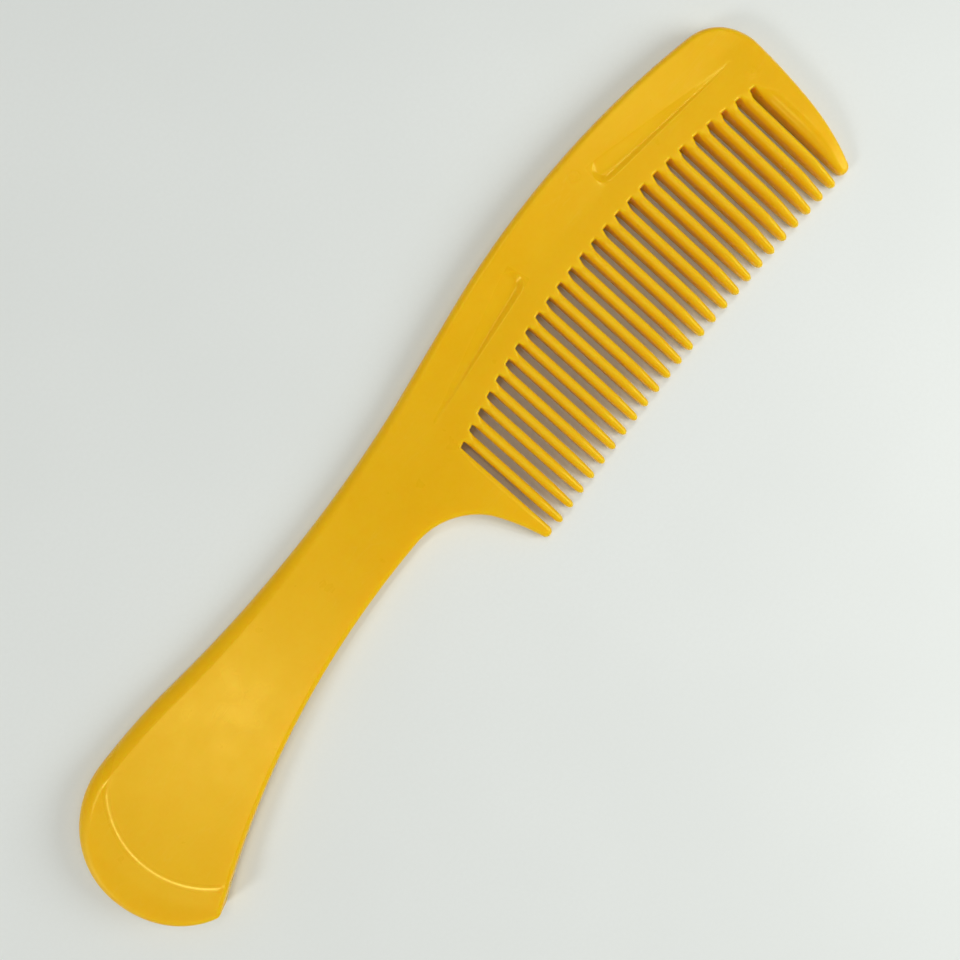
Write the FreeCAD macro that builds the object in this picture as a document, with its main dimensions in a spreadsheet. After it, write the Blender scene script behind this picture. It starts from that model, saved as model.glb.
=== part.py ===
import FreeCAD, Part
import os
from math import hypot, sqrt

import Sketcher
from FreeCAD import Placement, Rotation, Vector

# Handle comb. +X runs along the comb to the free end (the toe), the teeth point
# to -Y and the face that is seen in use is +Z. The underside is flat at Z = 0.
# The comb is one moulding. It is built as a blank, and the blank is divided at
# its natural boundaries into regions that meet face to face.

SIZES = {
    # Heights above the underside
    "blank_height": 7.0,
    "spine_thickness": 4.6,
    "grip_floor_height": 5.5,
    "under_round": 0.8,
    "corner_round": 1.0,
    # Corner at the low end of the handle, and the long curve under the handle
    "end_corner_x": -95.3,
    "end_corner_y": -24.5,
    "under_handle_radius": 196.0,
    # Heel guard: throat under the neck, flank and tip
    "throat_start_x": -13.0,
    "throat_start_y": -4.65,
    "throat_radius": 15.9,
    "heel_flank_top_x": 0.6,
    "heel_flank_top_y": -12.3,
    "heel_flank_radius": 45.0,
    "heel_tip_outer_x": 4.4,
    "heel_tip_outer_y": -23.25,
    "heel_tip_radius": 1.25,
    "heel_inner_x": 6.75,
    # Toe guard: tip, flank and the rounded top corner
    "toe_inner_x": 99.5,
    "toe_tip_inner_y": -19.7,
    "toe_tip_radius": 1.7,
    "toe_tip_outer_x": 102.5,
    "toe_tip_outer_y": -18.3,
    "toe_flank_radius": 114.0,
    "toe_corner_low_x": 106.84,
    "toe_corner_low_y": 11.0,
    "toe_corner_radius": 11.13,
    "toe_corner_top_x": 97.5,
    "toe_corner_top_y": 21.5,
    # Back edge: crown over the teeth, straight, hollow over the neck, handle
    "crown_radius": 202.0,
    "crown_end_x": 24.0,
    "crown_end_y": 20.5,
    "hollow_start_x": 4.9,
    "hollow_start_y": 16.9,
    "hollow_radius": 298.0,
    "grip_back_start_x": -69.0,
    "grip_back_start_y": 13.5,
    "grip_back_radius": 145.0,
    "end_arc_start_x": -88.5,
    "end_arc_start_y": 13.43,
    "end_arc_radius": 19.92,
    # Root line of the teeth, an arc about a point far below the comb
    "root_centre_x": 60.8,
    "root_centre_y": -187.4,
    "root_radius": 196.4,
    "below_tips_y": -30.0,
    # Grip: floor that rises from the neck, then a ramp up to the raised end lip
    "rise_start_x": -9.0,
    "lip_centre_x": -76.4,
    "lip_centre_y": -6.0,
    "lip_radius": 20.7,
    "lip_run": 8.6,
    "lip_top_height": 7.0,
    "lip_edge_x": -86.0,
    # Boundaries between regions
    "grip_neck_x": -45.0,
    "neck_spine_x": -9.0,
    "heel_root_y": 1.4,
    "toe_root_y": 5.1,
    # Two shallow teardrop recesses in the spine, round heads facing each other
    "drop_depth": 0.45,
    "drop_head_radius": 2.4,
    "drop_tail_radius": 0.35,
    "heel_drop_head_x": 37.6,
    "heel_drop_head_y": 15.3,
    "heel_drop_tail_x": 8.0,
    "heel_drop_tail_y": 8.9,
    "toe_drop_head_x": 66.8,
    "toe_drop_head_y": 16.7,
    "toe_drop_tail_x": 98.4,
    "toe_drop_tail_y": 12.2,
    # Teeth: places along the row, the tip line and the sections of one tooth
    "tooth_first_x": 9.25,
    "tooth_pitch": 3.66,
    "tip_centre_x": 78.1,
    "tip_centre_y": -629.2,
    "tip_radius": 609.0,
    "tooth_reach": 31.0,
    "root_width": 2.1,
    "root_depth": 4.2,
    "root_axis_height": 2.3,
    "shoulder_reach": 6.0,
    "shoulder_width": 2.0,
    "shoulder_depth": 3.5,
    "shoulder_axis_height": 1.95,
    "taper_reach": 3.0,
    "taper_width": 1.75,
    "taper_depth": 2.7,
    "taper_axis_height": 1.55,
    "nose_reach": 0.9,
    "nose_width": 1.2,
    "nose_depth": 1.6,
    "nose_axis_height": 1.15,
    "point_reach": 0.0,
    "point_width": 0.5,
    "point_depth": 0.7,
    "point_axis_height": 1.05,
}
TOOTH_COUNT = 25
TOOTH_SECTIONS = ("root", "shoulder", "taper", "nose", "point")
MARGIN = 5.0  # how far a cutting shape stands past what it cuts
FAR = 150.0  # past the comb on every side
NEAR = 0.05  # how close counts as touching
LEAST_CUT = 1.0  # a feature that changes less volume than this has failed


def make_sheet(doc):
    sheet = doc.addObject("Spreadsheet::Sheet", "sizes")
    for row, (alias, value) in enumerate(SIZES.items(), start=1):
        sheet.set("A%d" % row, alias)
        sheet.set("B%d" % row, str(value))
        sheet.setAlias("B%d" % row, alias)
    doc.recompute()
    return sheet


def bind(item, **expressions):
    """Tie properties to the sheet. Placement_Base_x stands for Placement.Base.x."""
    for name, expression in expressions.items():
        item.setExpression(name.replace("_Base_", ".Base."), expression)


def new_sketch(body, name, plane_role):
    plane = next(f for f in body.Origin.OriginFeatures if f.Role == plane_role)
    sketch = body.newObject("Sketcher::SketchObject", name)
    sketch.AttachmentSupport = [(plane, "")]
    sketch.MapMode = "FlatFace"
    return sketch


def fix(sketch, kind, where, expression, value):
    """Add a dimension and tie it to the sheet."""
    index = sketch.addConstraint(Sketcher.Constraint(kind, *where, value))
    sketch.setExpression("Constraints[%d]" % index, expression)


def arc_between(start, end, radius, turn):
    """Short arc from start to end, turning left (1) or right (-1).

    Returns the arc, which always runs counter-clockwise, and the sketch's
    numbers for the ends that lie at start and at end."""
    chord = end - start
    across = Vector(-chord.y, chord.x, 0) / chord.Length
    back = sqrt(radius ** 2 - (chord.Length / 2) ** 2)
    centre = (start + end) / 2 + across * back * turn
    middle = centre - across * radius * turn
    if turn > 0:
        return Part.Arc(start, middle, end), (1, 2)
    return Part.Arc(end, middle, start), (2, 1)


def draw_chain(sheet, sketch, corners, edges):
    """Closed outline. corners are pairs of sheet aliases, and edges[i], which
    joins corner i to the next one, is None for a line or (radius alias, turn)."""
    points = [Vector(sheet.get(x), sheet.get(y), 0) for x, y in corners]
    ends = []
    for i, edge in enumerate(edges):
        start = points[i]
        end = points[(i + 1) % len(points)]
        if edge is None:
            sketch.addGeometry(Part.LineSegment(start, end))
            ends.append((1, 2))
            continue
        arc, order = arc_between(start, end, sheet.get(edge[0]), edge[1])
        sketch.addGeometry(arc)
        ends.append(order)
    for i, edge in enumerate(edges):
        after = (i + 1) % len(edges)
        sketch.addConstraint(Sketcher.Constraint("Coincident", i, ends[i][1], after, ends[after][0]))
        x, y = corners[i]
        fix(sketch, "DistanceX", (i, ends[i][0]), "sizes." + x, sheet.get(x))
        fix(sketch, "DistanceY", (i, ends[i][0]), "sizes." + y, sheet.get(y))
        if edge is not None:
            fix(sketch, "Radius", (i,), "sizes." + edge[0], sheet.get(edge[0]))


def add_outline(sheet, body):
    """Plan of the whole comb, with the row of teeth still filled in."""
    sketch = new_sketch(body, "plan_outline", "XY_Plane")
    left, right = 1, -1
    corners = [
        ("end_corner_x", "end_corner_y"),
        ("throat_start_x", "throat_start_y"),
        ("heel_flank_top_x", "heel_flank_top_y"),
        ("heel_tip_outer_x", "heel_tip_outer_y"),
        ("heel_inner_x", "heel_tip_outer_y"),
        ("toe_inner_x", "toe_tip_inner_y"),
        ("toe_tip_outer_x", "toe_tip_outer_y"),
        ("toe_corner_low_x", "toe_corner_low_y"),
        ("toe_corner_top_x", "toe_corner_top_y"),
        ("crown_end_x", "crown_end_y"),
        ("hollow_start_x", "hollow_start_y"),
        ("grip_back_start_x", "grip_back_start_y"),
        ("end_arc_start_x", "end_arc_start_y"),
    ]
    edges = [
        ("under_handle_radius", right),
        ("throat_radius", right),
        ("heel_flank_radius", right),
        ("heel_tip_radius", left),
        None,
        ("toe_tip_radius", left),
        ("toe_flank_radius", left),
        ("toe_corner_radius", left),
        ("crown_radius", left),
        None,
        ("hollow_radius", right),
        ("grip_back_radius", left),
        ("end_arc_radius", left),
    ]
    draw_chain(sheet, sketch, corners, edges)
    pad = body.newObject("PartDesign::Pad", "blank")
    pad.Profile = sketch
    bind(pad, Length="sizes.blank_height")
    return pad


def add_top_profile(sheet, body):
    """Cut the spine and neck down to their height. The top then rises evenly
    to the floor of the grip."""
    sketch = new_sketch(body, "side_profile", "XZ_Plane")
    past_toe = sheet.get("toe_corner_low_x") + MARGIN
    above = sheet.get("blank_height") + MARGIN
    corners = [
        Vector(sheet.get("lip_centre_x"), sheet.get("grip_floor_height"), 0),
        Vector(sheet.get("rise_start_x"), sheet.get("spine_thickness"), 0),
        Vector(past_toe, sheet.get("spine_thickness"), 0),
        Vector(past_toe, above, 0),
        Vector(sheet.get("lip_centre_x"), above, 0),
    ]
    places = [
        ("sizes.lip_centre_x", "sizes.grip_floor_height"),
        ("sizes.rise_start_x", "sizes.spine_thickness"),
        ("sizes.toe_corner_low_x + %g" % MARGIN, "sizes.spine_thickness"),
        ("sizes.toe_corner_low_x + %g" % MARGIN, "sizes.blank_height + %g" % MARGIN),
        ("sizes.lip_centre_x", "sizes.blank_height + %g" % MARGIN),
    ]
    for i, corner in enumerate(corners):
        sketch.addGeometry(Part.LineSegment(corner, corners[(i + 1) % len(corners)]))
    for i, (x, z) in enumerate(places):
        after = (i + 1) % len(corners)
        sketch.addConstraint(Sketcher.Constraint("Coincident", i, 2, after, 1))
        fix(sketch, "DistanceX", (i, 1), x, corners[i].x)
        fix(sketch, "DistanceY", (i, 1), z, corners[i].y)
    cut = body.newObject("PartDesign::Pocket", "top_profile")
    cut.Profile = sketch
    cut.Type = "ThroughAll"
    cut.Midplane = True
    return cut


def add_grip_scoop(sheet, body):
    """Floor of the grip, round in plan, with a conical ramp up to the end lip."""
    sketch = new_sketch(body, "scoop_section", "XZ_Plane")
    sketch.AttachmentOffset = Placement(Vector(0, 0, 0), Rotation())
    bind(sketch, AttachmentOffset_Base_x="sizes.lip_centre_x", AttachmentOffset_Base_z="-sizes.lip_centre_y")
    foot = sheet.get("lip_radius")
    crest = foot + sheet.get("lip_run")
    rim = crest + MARGIN
    floor = sheet.get("grip_floor_height")
    top = sheet.get("lip_top_height")
    above = sheet.get("blank_height") + MARGIN
    run = "sizes.lip_radius + sizes.lip_run"
    corners = [
        (0, floor, "0", "sizes.grip_floor_height"),
        (foot, floor, "sizes.lip_radius", "sizes.grip_floor_height"),
        (crest, top, run, "sizes.lip_top_height"),
        (rim, top, run + " + %g" % MARGIN, "sizes.lip_top_height"),
        (rim, above, run + " + %g" % MARGIN, "sizes.blank_height + %g" % MARGIN),
        (0, above, "0", "sizes.blank_height + %g" % MARGIN),
    ]
    points = [Vector(x, z, 0) for x, z, _, _ in corners]
    for i, point in enumerate(points):
        sketch.addGeometry(Part.LineSegment(point, points[(i + 1) % len(points)]))
    for i, (x, z, x_from, z_from) in enumerate(corners):
        after = (i + 1) % len(corners)
        sketch.addConstraint(Sketcher.Constraint("Coincident", i, 2, after, 1))
        if x == 0:
            sketch.addConstraint(Sketcher.Constraint("PointOnObject", i, 1, -2))
        else:
            fix(sketch, "DistanceX", (i, 1), x_from, x)
        fix(sketch, "DistanceY", (i, 1), z_from, z)
    cut = body.newObject("PartDesign::Groove", "grip_scoop")
    cut.Profile = sketch
    cut.ReferenceAxis = (sketch, ["V_Axis"])
    cut.Angle = 360
    return cut


def add_tooth_space(sheet, body):
    """Open the space between the two guards, up to the arc of the root line."""
    sketch = new_sketch(body, "tooth_space_plan", "XY_Plane")
    centre = Vector(sheet.get("root_centre_x"), sheet.get("root_centre_y"), 0)
    radius = sheet.get("root_radius")
    heel_x = sheet.get("heel_inner_x")
    toe_x = sheet.get("toe_inner_x")
    low = sheet.get("below_tips_y")
    heel = Vector(heel_x, centre.y + sqrt(radius ** 2 - (heel_x - centre.x) ** 2), 0)
    toe = Vector(toe_x, centre.y + sqrt(radius ** 2 - (toe_x - centre.x) ** 2), 0)
    sketch.addGeometry(Part.Arc(toe, centre + Vector(0, radius, 0), heel))
    sketch.addGeometry(Part.LineSegment(heel, Vector(heel_x, low, 0)))
    sketch.addGeometry(Part.LineSegment(Vector(heel_x, low, 0), Vector(toe_x, low, 0)))
    sketch.addGeometry(Part.LineSegment(Vector(toe_x, low, 0), toe))
    for first, first_end, second, second_end in ((0, 2, 1, 1), (1, 2, 2, 1), (2, 2, 3, 1), (3, 2, 0, 1)):
        sketch.addConstraint(Sketcher.Constraint("Coincident", first, first_end, second, second_end))
    sketch.addConstraint(Sketcher.Constraint("Vertical", 1))
    sketch.addConstraint(Sketcher.Constraint("Vertical", 3))
    sketch.addConstraint(Sketcher.Constraint("Horizontal", 2))
    fix(sketch, "DistanceX", (0, 3), "sizes.root_centre_x", centre.x)
    fix(sketch, "DistanceY", (0, 3), "sizes.root_centre_y", centre.y)
    fix(sketch, "Radius", (0,), "sizes.root_radius", radius)
    fix(sketch, "DistanceX", (2, 1), "sizes.heel_inner_x", heel_x)
    fix(sketch, "DistanceX", (2, 2), "sizes.toe_inner_x", toe_x)
    fix(sketch, "DistanceY", (2, 1), "sizes.below_tips_y", low)
    cut = body.newObject("PartDesign::Pocket", "tooth_space")
    cut.Profile = sketch
    cut.Type = "ThroughAll"
    cut.Midplane = True
    return cut


def add_teardrop(sheet, body, name):
    """Shallow teardrop recess: a large head arc and a small tail arc, joined by
    straight sides that are tangent to both."""
    head = Vector(sheet.get(name + "_head_x"), sheet.get(name + "_head_y"), 0)
    tail = Vector(sheet.get(name + "_tail_x"), sheet.get(name + "_tail_y"), 0)
    big = sheet.get("drop_head_radius")
    small = sheet.get("drop_tail_radius")
    along = (tail - head) / (tail - head).Length
    across = Vector(-along.y, along.x, 0)
    lean = (big - small) / (tail - head).Length
    side = sqrt(1 - lean ** 2)
    left = along * lean + across * side
    right = along * lean - across * side
    sketch = new_sketch(body, name + "_plan", "XY_Plane")
    bind(sketch, AttachmentOffset_Base_z="sizes.spine_thickness")
    sketch.addGeometry(Part.Arc(head + left * big, head - along * big, head + right * big))
    sketch.addGeometry(Part.LineSegment(head + right * big, tail + right * small))
    sketch.addGeometry(Part.Arc(tail + right * small, tail + along * small, tail + left * small))
    sketch.addGeometry(Part.LineSegment(tail + left * small, head + left * big))
    for first, second in ((0, 1), (1, 2), (2, 3), (3, 0)):
        sketch.addConstraint(Sketcher.Constraint("Tangent", first, 2, second, 1))
    for arc, end in ((0, "head"), (2, "tail")):
        fix(sketch, "DistanceX", (arc, 3), "sizes.%s_%s_x" % (name, end), sheet.get("%s_%s_x" % (name, end)))
        fix(sketch, "DistanceY", (arc, 3), "sizes.%s_%s_y" % (name, end), sheet.get("%s_%s_y" % (name, end)))
        fix(sketch, "Radius", (arc,), "sizes.drop_%s_radius" % end, sheet.get("drop_%s_radius" % end))
    cut = body.newObject("PartDesign::Pocket", name)
    cut.Profile = sketch
    bind(cut, Length="sizes.drop_depth")
    return cut


def in_tooth_space(sheet, point):
    """True for a point on the walls of the tooth space."""
    inside_guards = sheet.get("heel_inner_x") - NEAR <= point.x <= sheet.get("toe_inner_x") + NEAR
    from_centre = hypot(point.x - sheet.get("root_centre_x"), point.y - sheet.get("root_centre_y"))
    return inside_guards and from_centre <= sheet.get("root_radius") + NEAR


def under_edges(sheet, shape):
    """Names of the edges round the outside of the underside. The tips of the two
    guards are left out, because they are already narrow."""
    names = []
    for number, edge in enumerate(shape.Edges, start=1):
        middle = edge.valueAt((edge.FirstParameter + edge.LastParameter) / 2)
        on_underside = max(vertex.Z for vertex in edge.Vertexes) < NEAR
        at_tip = middle.x > sheet.get("end_arc_start_x") and middle.y < sheet.get("toe_tip_outer_y")
        if on_underside and not at_tip and not in_tooth_space(sheet, middle):
            names.append("Edge%d" % number)
    return names


def end_corner_edge(sheet, shape):
    """Name of the upright edge at the low corner of the handle."""
    for number, edge in enumerate(shape.Edges, start=1):
        first, last = edge.Vertexes[0].Point, edge.Vertexes[-1].Point
        away = hypot(first.x - sheet.get("end_corner_x"), first.y - sheet.get("end_corner_y"))
        if away < NEAR and abs(first.z - last.z) > MARGIN:
            return "Edge%d" % number
    raise RuntimeError("the handle has no upright corner edge")


def add_round(body, name, base, edges, radius_alias):
    fillet = body.newObject("PartDesign::Fillet", name)
    fillet.Base = (base, edges)
    bind(fillet, Radius="sizes." + radius_alias)
    return fillet


def make_moulding(doc, sheet):
    """The comb without its teeth, in one piece."""
    body = doc.addObject("PartDesign::Body", "moulding_blank")
    last = None
    for step in (add_outline, add_top_profile, add_grip_scoop, add_tooth_space):
        before = last.Shape.Volume if last else 0
        last = step(sheet, body)
        doc.recompute()
        changed = last.Shape.Volume - before
        print("%-14s volume %9.1f, change %9.1f" % (last.Name, last.Shape.Volume, changed))
        if abs(changed) < LEAST_CUT:
            raise RuntimeError(last.Name + " changes nothing")
    corner = end_corner_edge(sheet, last.Shape)
    last = add_round(body, "corner_rounding", last, [corner], "corner_round")
    doc.recompute()
    last = add_round(body, "under_rounding", last, under_edges(sheet, last.Shape), "under_round")
    doc.recompute()
    for name in ("heel_drop", "toe_drop"):
        before = last.Shape.Volume
        last = add_teardrop(sheet, body, name)
        doc.recompute()
        if before - last.Shape.Volume < LEAST_CUT:
            raise RuntimeError(name + " cuts nothing")
    return body


def make_box(doc, name, **sides):
    """Box between two values on X, and between two on Y where they are given.
    It stands past the comb on every side that isn't given."""
    box = doc.addObject("Part::Box", name)
    far = "%g" % FAR
    x_low = sides.get("x_low", "-" + far)
    x_high = sides.get("x_high", far)
    y_low = sides.get("y_low", "-" + far)
    y_high = sides.get("y_high", far)
    bind(box, Placement_Base_x=x_low, Placement_Base_y=y_low, Placement_Base_z="-%g" % MARGIN)
    bind(box, Length="(%s) - (%s)" % (x_high, x_low), Width="(%s) - (%s)" % (y_high, y_low))
    bind(box, Height="sizes.blank_height + %g" % (2 * MARGIN))
    return box


def combine(doc, kind, name, base, tool):
    result = doc.addObject(kind, name)
    result.Base = base
    result.Tool = tool
    result.Label = name
    result.Placement = Placement()
    return result


def make_regions(doc, moulding):
    """Divide the moulding at its natural boundaries."""
    lip_side = make_box(doc, "lip_side", x_high="sizes.lip_edge_x")
    lip_disc = doc.addObject("Part::Cylinder", "lip_disc")
    bind(lip_disc, Radius="sizes.lip_radius", Height="sizes.blank_height + %g" % (2 * MARGIN))
    bind(lip_disc, Placement_Base_x="sizes.lip_centre_x", Placement_Base_y="sizes.lip_centre_y")
    bind(lip_disc, Placement_Base_z="-%g" % MARGIN)
    lip_zone = combine(doc, "Part::Cut", "lip_zone", lip_side, lip_disc)
    grip_side = make_box(doc, "grip_side", x_high="sizes.grip_neck_x")
    grip_zone = combine(doc, "Part::Cut", "grip_zone", grip_side, lip_zone)
    neck_zone = make_box(doc, "neck_zone", x_low="sizes.grip_neck_x", x_high="sizes.neck_spine_x")
    heel_zone = make_box(
        doc, "heel_zone", x_low="sizes.neck_spine_x", x_high="sizes.heel_inner_x", y_high="sizes.heel_root_y"
    )
    toe_zone = make_box(doc, "toe_zone", x_low="sizes.toe_inner_x", y_high="sizes.toe_root_y")
    head_side = make_box(doc, "head_side", x_low="sizes.neck_spine_x")
    head_less_heel = combine(doc, "Part::Cut", "head_less_heel", head_side, heel_zone)
    spine_zone = combine(doc, "Part::Cut", "spine_zone", head_less_heel, toe_zone)
    zones = {
        "handle_end_lip": lip_zone,
        "handle_grip": grip_zone,
        "neck": neck_zone,
        "spine": spine_zone,
        "heel_guard": heel_zone,
        "toe_guard": toe_zone,
    }
    return [combine(doc, "Part::Common", name, moulding, zone) for name, zone in zones.items()]


def make_tooth(doc, number, root_drum):
    """One tooth: a tapered rod of oval section, ended on the arc of the root."""
    name = "tooth_%02d" % number
    x = "(sizes.tooth_first_x + %d * sizes.tooth_pitch)" % (number - 1)
    tip_y = "sizes.tip_centre_y + sqrt(sizes.tip_radius ^ 2 - (%s - sizes.tip_centre_x) ^ 2)" % x
    sections = []
    for part in TOOTH_SECTIONS:
        oval = doc.addObject("Part::Ellipse", "%s_%s_oval" % (name, part))
        # The long axis of the oval stands up, and its plane faces along the tooth
        oval.Placement = Placement(Vector(0, 0, 0), Rotation(Vector(1, 1, 1), -120))
        bind(oval, MajorRadius="sizes.%s_depth / 2" % part, MinorRadius="sizes.%s_width / 2" % part)
        bind(oval, Placement_Base_x=x, Placement_Base_z="sizes.%s_axis_height" % part)
        reach = "tooth" if part == "root" else part
        bind(oval, Placement_Base_y="%s + sizes.%s_reach" % (tip_y, reach))
        sections.append(oval)
    rod = doc.addObject("Part::Loft", name + "_rod")
    rod.Sections = sections
    rod.Solid = True
    rod.Ruled = True
    return combine(doc, "Part::Common", name, rod, root_drum)


def make_teeth(doc):
    root_drum = doc.addObject("Part::Cylinder", "root_drum")
    bind(root_drum, Radius="sizes.root_radius", Height="sizes.blank_height + %g" % (2 * MARGIN))
    bind(root_drum, Placement_Base_x="sizes.root_centre_x", Placement_Base_y="sizes.root_centre_y")
    bind(root_drum, Placement_Base_z="-%g" % MARGIN)
    return [make_tooth(doc, number, root_drum) for number in range(1, TOOTH_COUNT + 1)]


def check(doc, nodes):
    for item in doc.Objects:
        if "Invalid" in item.State or "Error" in item.State:
            raise RuntimeError("%s failed to recompute: %s" % (item.Name, item.State))
    for node in nodes:
        if node.Shape.isNull() or not node.Shape.isValid():
            raise RuntimeError("%s has no valid shape" % node.Label)
        if len(node.Shape.Solids) != 1:
            raise RuntimeError("%s has %d solids" % (node.Label, len(node.Shape.Solids)))


def main():
    doc = FreeCAD.newDocument("handle_comb")
    sheet = make_sheet(doc)
    moulding = make_moulding(doc, sheet)
    nodes = make_regions(doc, moulding) + make_teeth(doc)
    doc.recompute()
    check(doc, nodes)
    os.makedirs("parts", exist_ok=True)
    box = FreeCAD.BoundBox()
    for node in nodes:
        node.Shape.exportStep("parts/%s.step" % node.Label)
        box.add(node.Shape.optimalBoundingBox())
    volume = sum(node.Shape.Volume for node in nodes)
    print("%d nodes, volume %.0f mm3" % (len(nodes), volume))
    print("X %.3f to %.3f, Y %.3f to %.3f, Z %.3f to %.3f" % (
        box.XMin, box.XMax, box.YMin, box.YMax, box.ZMin, box.ZMax))


main()
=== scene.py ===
from math import atan2, cos, hypot, pi, radians, sin, sqrt

import bmesh
import bpy
import numpy as np
from mathutils import Matrix, Vector
from mathutils.geometry import delaunay_2d_cdt


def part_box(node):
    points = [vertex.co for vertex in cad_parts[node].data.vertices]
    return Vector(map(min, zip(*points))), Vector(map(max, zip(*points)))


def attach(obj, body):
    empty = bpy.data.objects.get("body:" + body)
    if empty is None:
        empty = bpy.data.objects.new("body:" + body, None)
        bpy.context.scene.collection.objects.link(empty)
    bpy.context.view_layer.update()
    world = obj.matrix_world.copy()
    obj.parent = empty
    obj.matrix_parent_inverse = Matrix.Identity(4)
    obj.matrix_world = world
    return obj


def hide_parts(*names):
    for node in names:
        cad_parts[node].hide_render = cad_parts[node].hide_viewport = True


# Handle comb: one injection moulding in yellow plastic, so the whole comb is one
# closed skin. Lengths are in millimetres in the row frame until the mesh is made:
# +X to the free end (the toe), teeth towards -Y, show face +Z, table at Z = 0.

MM = 0.001

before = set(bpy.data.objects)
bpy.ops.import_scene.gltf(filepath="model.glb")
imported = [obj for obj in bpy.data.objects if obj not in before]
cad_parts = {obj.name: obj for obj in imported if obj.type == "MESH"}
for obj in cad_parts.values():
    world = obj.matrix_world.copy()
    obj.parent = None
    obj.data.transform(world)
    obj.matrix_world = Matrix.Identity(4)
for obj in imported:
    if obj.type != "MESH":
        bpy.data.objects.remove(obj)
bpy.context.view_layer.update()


def node_box(name):
    low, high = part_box(name)
    return np.array(low) / MM, np.array(high) / MM


TEETH = sorted(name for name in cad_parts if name.startswith("tooth_"))
TOOTH_X = np.array([sum(node_box(name))[0] / 2 for name in TEETH])
TIP_Y = np.array([node_box(name)[0][1] for name in TEETH])
HEEL_INNER_X = node_box("heel_guard")[1][0]
TOE_INNER_X = node_box("toe_guard")[0][0]
SPINE_THICKNESS = node_box("spine")[1][2]
LIP_TOP = node_box("handle_end_lip")[1][2]

# Plan of the comb, walked with the plastic on the left. Each row is a corner: x, y,
# then the radius and turn of the stretch that leaves it (None for a straight line),
# then the width and depth of the rounded top edge there.
LEFT, RIGHT = 1, -1
LOWER_PLAN = [
    (-94.76, -24.24, 196.0, RIGHT, 0.9, 0.9),
    (-13.0, -4.65, 15.9, RIGHT, 1.0, 0.9),
    (0.6, -12.3, 45.0, RIGHT, 1.0, 0.9),
    (4.4, -23.25, 1.2, LEFT, 0.9, 0.8),
    (6.75, -22.9, None, LEFT, 0.9, 0.8),
]
UPPER_PLAN = [
    (99.5, -19.03, 1.37, LEFT, 1.0, 1.0),
    (102.19, -19.4, 114.0, LEFT, 1.0, 1.0),
    (106.84, 11.0, 11.13, LEFT, 1.6, 2.4),
    (97.5, 21.5, 202.0, LEFT, 1.4, 2.2),
    (24.0, 20.5, None, LEFT, 1.8, 2.2),
    (4.9, 16.9, 298.0, RIGHT, 2.2, 2.4),
    (-69.0, 13.5, 145.0, LEFT, 3.4, 2.6),
    (-88.5, 13.43, 19.92, LEFT, 3.4, 3.0),
    (-106.84, -6.43, 19.92, LEFT, 2.5, 4.0),
    (-95.84, -24.24, 1.26, LEFT, 0.9, 0.9),
    (-94.76, -24.24, None, LEFT, 0.9, 0.9),
]
ROOT_CENTRE = (60.8, -187.4)
ROOT_RADIUS = 196.4
PLAN_STEP = 0.7
SMALL_ARC_STEP = 0.2  # of the radius

# Walls of the tooth spaces. A roll is the width and depth of a rounded edge.
ROOT_ROLL = (0.55, 0.55)
HEEL_ROLL = (1.1, 1.0)
TOE_ROLL = (2.8, 1.9)
UNDER_ROLL = (0.8, 0.8)
GAP_ROLL = (0.5, 0.5)
GAP_CORNER = 0.3
CORNER_POINTS = 7
ROOT_POINTS = 4
STUB = 3.2
STUB_STEP = 0.4

# Below the root line, a tooth starts to take its own section and then has all of it
BLEND_START = 0.1
FULL_SECTION = 2.0
GUARD_CLEARANCE = 0.1

# One tooth, by distance from its tip: half width, heights of its underside and ridge
TOOTH_S = (0.0, 3.0, 6.0, 10.0, 31.0)
TOOTH_HALF_WIDTH = (0.72, 0.88, 1.0, 1.03, 1.07)
TOOTH_LOW = (0.4, 0.3, 0.2, 0.2, 0.2)
TOOTH_HIGH = (2.2, 2.95, 3.7, 4.0, 4.4)
NOSE_LENGTH = 1.1
NOSE_STEPS = 8
RIDGE_SHARE = 0.42  # part of a tooth's depth that its rounded ridge takes
SOLE_SHARE = 0.14  # and its rounded underside
TOOTH_STATION = 1.3

# The two guards get thinner towards their tips
GUARD_X = -13.0
GUARD_TIP_Y = (-24.1, -21.1)
GUARD_RUN = 16.0
GUARD_DROP = 2.4
GUARD_DROP_POWER = 2.1
GUARD_ROOT_BLEND = 4
GUARD_TIP_BLEND = 9

# Rows of the skin from the show face over the edge to the underside
ROLL_STEPS = 8
UNDER_STEPS = 5
SEAM_HALF_WIDTH = 0.12
SEAM_SHARE = 0.1  # most of a wall that half the parting line may take
SEAM_HEIGHT = 0.035

# Show face
RISE_START_X = -9.0
RISE_HEIGHT = 0.9
RISE_SOFTNESS = 8.0
LIP_CENTRE = (-76.4, -6.0)
LIP_RADIUS = 20.7
LIP_RUN = 9.2
CREASE_SOFTNESS = 0.3
CREST_SOFTNESS = 1.0
LOW_END_Y, LOW_END_RUN, LOW_END_SOFTNESS = -20.5, 2, 1.5  # of the crease
HIGH_END_Y, HIGH_END_RUN, HIGH_END_SOFTNESS = 8.5, 3, 1.2
DROPS = [((37.6, 15.3), (8.0, 8.9)), ((66.8, 16.7), (98.4, 12.2))]
DROP_HEAD_RADIUS = 2.5
DROP_TAIL_RADIUS = 0.3
DROP_BACK_SLOPE = 0.18
DROP_TEETH_SLOPE = 0.44
DROP_HEAD_SLOPE = 0.36
DROP_DEPTH = 0.5
DROP_SOFTNESS = 0.07
DROP_TAIL_FADE = 1.5
EJECTOR_MARK = (61.6, 20.1)
EJECTOR_RADIUS = 1.15
EJECTOR_DEPTH = 0.03
EJECTOR_LINE = 0.13
GATE_MARK = (101.1, 7.5)
GATE_RADIUS = 1.3
GATE_HEIGHT = 0.05
GATE_GRAIN = 0.4
GATE_WAVES = (4.1, 4.7)
GATE_BEND = 1.3
GATE_BEND_WAVES = 3.7
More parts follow.
